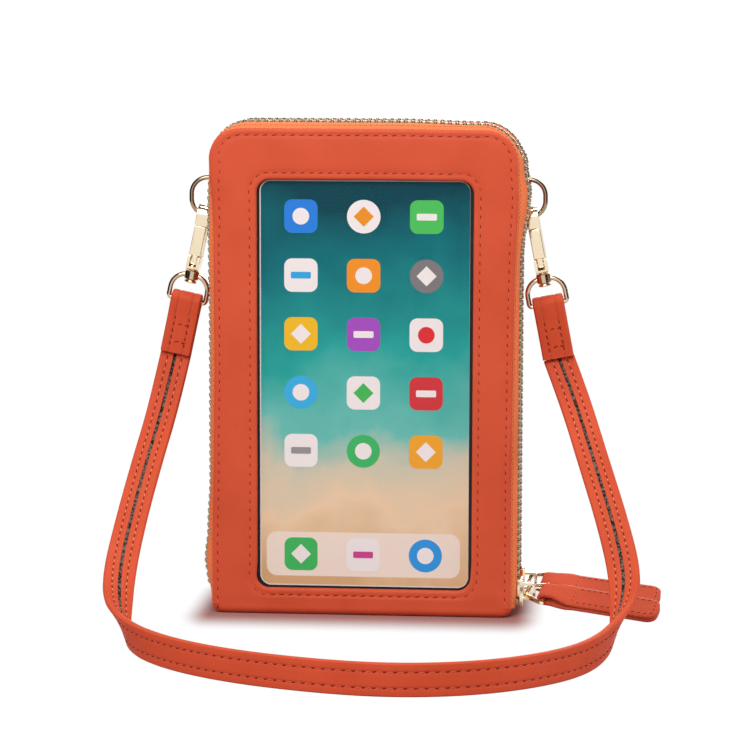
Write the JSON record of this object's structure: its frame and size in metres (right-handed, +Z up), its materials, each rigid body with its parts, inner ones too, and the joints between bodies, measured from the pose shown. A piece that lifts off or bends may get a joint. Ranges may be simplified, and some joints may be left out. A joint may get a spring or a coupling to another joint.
{
  "type": "phone pouch",
  "caption": "Slim leather phone pouch with zip-round compartments, a clear touch window and a clip-on wrist strap.",
  "frame": {"origin": "middle of the base, on the surface that the pouch stands on", "axes": "+X to the right seen from the window side, +Y to the back, +Z up"},
  "size_m": [0.2073, 0.1745, 0.19],
  "materials": {
    "leather": "grained, satin",
    "strap_leather": "grained, satin",
    "inner_leather": "smooth, satin",
    "lining": "fine plain weave",
    "film": "clear, glossy",
    "card": "printed, smooth",
    "tape": "twill tape",
    "zip_metal": "light gold plated",
    "pale_gold": "light gold plated, polished",
    "spring_steel": "plain"
  },
  "bodies": {
    "pouch": {"base_panel": "leather", "divider": "inner_leather", "middle_band": "leather", "card_slots": "inner_leather", "front_tape_inner": "tape", "rear_tape_inner": "tape", "zip_end_tapes": "tape", "front_teeth_inner": "zip_metal", "rear_teeth_inner": "zip_metal", "zip_end_teeth": "zip_metal", "zip_stops": "zip_metal", "ring_tab_left": "strap_leather", "ring_tab_right": "strap_leather", "strap": "strap_leather", "strap_end_left": "strap_leather", "strap_end_right": "strap_leather", "strap_eye_left": "pale_gold", "strap_eye_right": "pale_gold"},
    "front_flap": {"front_panel": "leather", "window_film": "film", "insert_card": "card", "phone_pocket": "lining", "front_tape_outer": "tape", "front_teeth_outer": "zip_metal"},
    "rear_flap": {"back_panel": "leather", "back_lining": "lining", "rear_tape_outer": "tape", "rear_teeth_outer": "zip_metal"},
    "front_runner": {"front_slider": "zip_metal"},
    "front_link": {"front_pull_link": "zip_metal"},
    "front_pull": {"front_pull_tab": "strap_leather"},
    "rear_runner": {"rear_slider": "zip_metal"},
    "rear_link": {"rear_pull_link": "zip_metal"},
    "rear_pull": {"rear_pull_tab": "strap_leather"},
    "ring_left": {"d_ring_left": "pale_gold"},
    "clasp_left": {"hook_left": "pale_gold", "gate_pin_left": "pale_gold", "gate_spring_left": "spring_steel", "swivel_post_left": "pale_gold"},
    "lever_left": {"gate_left": "pale_gold"},
    "ring_right": {"d_ring_right": "pale_gold"},
    "clasp_right": {"hook_right": "pale_gold", "gate_pin_right": "pale_gold", "gate_spring_right": "spring_steel", "swivel_post_right": "pale_gold"},
    "lever_right": {"gate_right": "pale_gold"}
  },
  "joints": [
    {"name": "front_opening", "type": "hinge", "parent": "pouch", "child": "front_flap", "pos_m": [0, -0.02, 0.0034], "axis": [1, 0, 0], "range_deg": [0, 80]},
    {"name": "rear_opening", "type": "hinge", "parent": "pouch", "child": "rear_flap", "pos_m": [0, 0.02, 0.0034], "axis": [-1, 0, 0], "range_deg": [0, 80]},
    {"name": "front_zip", "type": "slide", "parent": "pouch", "child": "front_runner", "axis": [0, 0, 1], "range_m": [0, 0.085], "deforming": ["front_teeth_outer", "front_teeth_inner", "zip_end_teeth", "strap"]},
    {"name": "front_link_swing", "type": "hinge", "parent": "front_runner", "child": "front_link", "pos_m": [0.0633, -0.011, 0.0091], "axis": [0.2568, 0.8775, 0.4051], "range_deg": [-60, 60]},
    {"name": "front_pull_swing", "type": "hinge", "parent": "front_link", "child": "front_pull", "pos_m": [0.07026, -0.01273, 0.00845], "axis": [0.2568, 0.8775, 0.4051], "range_deg": [-25, 25]},
    {"name": "rear_zip", "type": "slide", "parent": "pouch", "child": "rear_runner", "axis": [0, 0, 1], "range_m": [0, 0.045], "deforming": ["rear_teeth_outer", "rear_teeth_inner", "strap_end_right"]},
    {"name": "rear_link_swing", "type": "hinge", "parent": "rear_runner", "child": "rear_link", "pos_m": [0.0633, 0.011, 0.0091], "axis": [0.1793, 0.8965, 0.4051], "range_deg": [-60, 60]},
    {"name": "rear_pull_swing", "type": "hinge", "parent": "rear_link", "child": "rear_pull", "pos_m": [0.07038, 0.00988, 0.00845], "axis": [0.1793, 0.8965, 0.4051], "range_deg": [-25, 25]},
    {"name": "ring_swing_left", "type": "hinge", "parent": "pouch", "child": "ring_left", "pos_m": [-0.05925, 0, 0.16], "axis": [0, 0, 1], "range_deg": [-6, 6]},
    {"name": "swivel_left", "type": "hinge", "parent": "pouch", "child": "clasp_left", "pos_m": [-0.06349, 0, 0.15293], "axis": [0.2079, 0, 0.9781], "range_deg": [-8, 8]},
    {"name": "gate_press_left", "type": "hinge", "parent": "clasp_left", "child": "lever_left", "pos_m": [-0.06731, -0.0032, 0.13494], "axis": [-0.9781, 0, 0.2079], "range_deg": [0, 20], "stiffness_Nm_per_rad": 0.004, "deforming": ["gate_spring_left"]},
    {"name": "ring_swing_right", "type": "hinge", "parent": "pouch", "child": "ring_right", "pos_m": [0.05925, 0, 0.16], "axis": [0, 0, 1], "range_deg": [-6, 6]},
    {"name": "swivel_right", "type": "hinge", "parent": "pouch", "child": "clasp_right", "pos_m": [0.06338, 0, 0.15291], "axis": [-0.1908, 0, 0.9816], "range_deg": [-8, 8]},
    {"name": "gate_press_right", "type": "hinge", "parent": "clasp_right", "child": "lever_right", "pos_m": [0.06689, -0.0032, 0.13485], "axis": [-0.9816, 0, -0.1908], "range_deg": [0, 20], "stiffness_Nm_per_rad": 0.004, "deforming": ["gate_spring_right"]}
  ]
}
